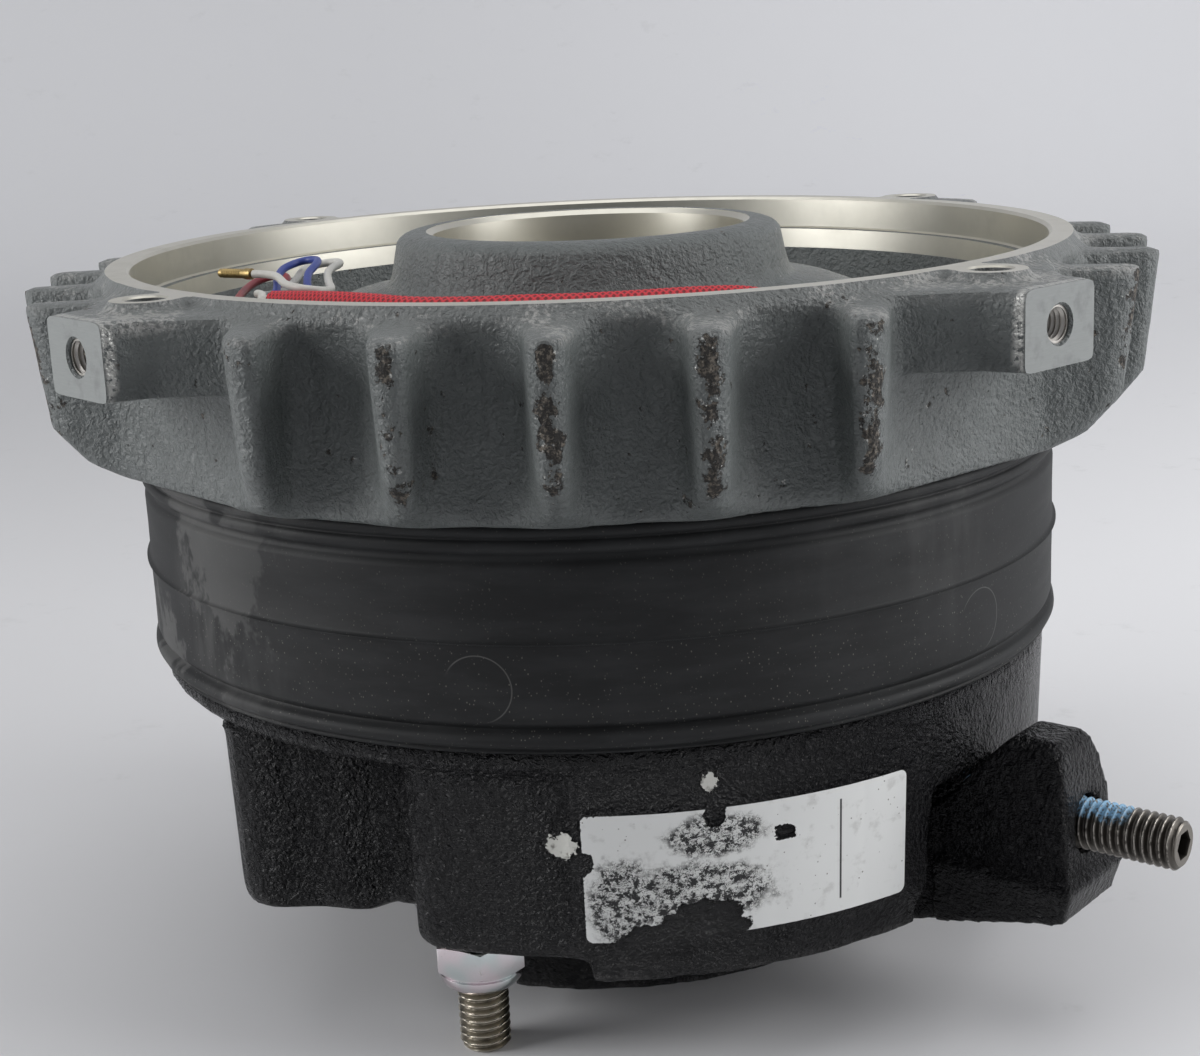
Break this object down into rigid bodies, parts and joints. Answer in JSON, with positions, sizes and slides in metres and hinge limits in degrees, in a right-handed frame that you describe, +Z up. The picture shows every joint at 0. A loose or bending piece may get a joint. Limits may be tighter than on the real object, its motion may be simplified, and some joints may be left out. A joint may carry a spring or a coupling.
{
  "type": "spring applied brake",
  "caption": "Spring applied electromagnetic disc brake with hand release lever, rubber collar and finned motor endshield.",
  "frame": {"origin": "on the brake axis, at the level of the three stud tips that it stands on", "axes": "+Z up along the brake axis, from the coil body to the motor side; -Y is the front, the side the picture was taken from; the hand release boss points 54 degrees from -Y towards +X"},
  "size_m": [0.184, 0.184, 0.1189],
  "materials": {
    "painted_iron": "worn grey-blue paint on rough cast iron, chipped on edges",
    "black_iron": "black semi-gloss coat on rough cast iron",
    "rubber": "matt dark grey moulded rubber",
    "plain_steel": "bare machined steel",
    "zinc_plate": "bright zinc plate",
    "black_oxide_steel": "black oxide, worn bright on the thread",
    "spring_steel": "plain spring wire",
    "stainless": "smooth stainless sheet",
    "friction_lining": "pressed friction compound",
    "damping_sheet": "dark damping sheet",
    "cast_resin": "copper winding potted in dark resin",
    "braided_sleeve": "red varnished braid",
    "white_insulation": "white insulation",
    "blue_insulation": "dark blue insulation",
    "red_insulation": "dark red insulation",
    "brass": "tinned brass"
  },
  "bodies": {
    "stator": {"endshield": "painted_iron", "friction_plate": "stainless", "sealing_collar": "rubber", "coil_body": "black_iron", "coil": "cast_resin", "mounting_stud_1": "plain_steel", "mounting_stud_2": "plain_steel", "mounting_stud_3": "plain_steel", "pressure_ring_1": "plain_steel", "pressure_ring_2": "plain_steel", "pressure_ring_3": "plain_steel", "mounting_nut_1": "zinc_plate", "mounting_nut_2": "zinc_plate", "mounting_nut_3": "zinc_plate", "counter_spring_1": "spring_steel", "counter_spring_2": "spring_steel", "counter_spring_3": "spring_steel", "brake_spring_1": "spring_steel", "brake_spring_2": "spring_steel", "brake_spring_3": "spring_steel", "brake_spring_4": "spring_steel", "brake_spring_5": "spring_steel", "brake_spring_6": "spring_steel", "lead_grommet": "rubber", "lead_sleeve": "braided_sleeve", "lead_white": "white_insulation", "lead_blue": "blue_insulation", "lead_red": "red_insulation", "lead_ferrule": "brass"},
    "carrier": {"toothed_carrier": "plain_steel"},
    "disc": {"brake_disc": "plain_steel", "friction_lining_motor_side": "friction_lining", "friction_lining_coil_side": "friction_lining"},
    "armature": {"pressure_plate": "plain_steel", "damping_plate": "damping_sheet", "release_stud_1": "plain_steel", "release_stud_2": "plain_steel", "setting_nut_1": "zinc_plate", "setting_nut_2": "zinc_plate", "conical_spring_1": "spring_steel", "conical_spring_2": "spring_steel"},
    "lever": {"release_lever": "black_iron"},
    "screw": {"set_screw": "black_oxide_steel"}
  },
  "joints": [
    {"name": "lever_tilt", "type": "hinge", "parent": "stator", "child": "lever", "pos_m": [-0.01375, 0.00999, 0.0261], "axis": [0.5878, 0.809, 0], "range_deg": [0, 2.4], "stiffness_Nm_per_rad": 60, "springref_deg": -2.86, "deforming": ["conical_spring_1", "conical_spring_2"]},
    {"name": "armature_pull", "type": "slide", "parent": "stator", "child": "armature", "axis": [0, 0, -1], "range_m": [0, 0.0005], "deforming": ["brake_spring_1", "brake_spring_2", "brake_spring_3", "brake_spring_4", "brake_spring_5", "brake_spring_6"]},
    {"name": "carrier_spin", "type": "hinge", "parent": "stator", "child": "carrier", "pos_m": [0, 0, 0.0774], "axis": [0, 0, 1], "continuous": true},
    {"name": "disc_float", "type": "slide", "parent": "carrier", "child": "disc", "axis": [0, 0, -1], "range_m": [0, 0.00025]},
    {"name": "screw_feed", "type": "slide", "parent": "lever", "child": "screw", "axis": [0.809, -0.5878, 0], "range_m": [-0.0115, 0.008]}
  ],
  "couplings": [
    {"joint": "armature_pull", "follows": "lever_tilt", "m_per_rad": 0.011925},
    {"joint": "disc_float", "follows": "lever_tilt", "m_per_rad": 0.005962}
  ]
}
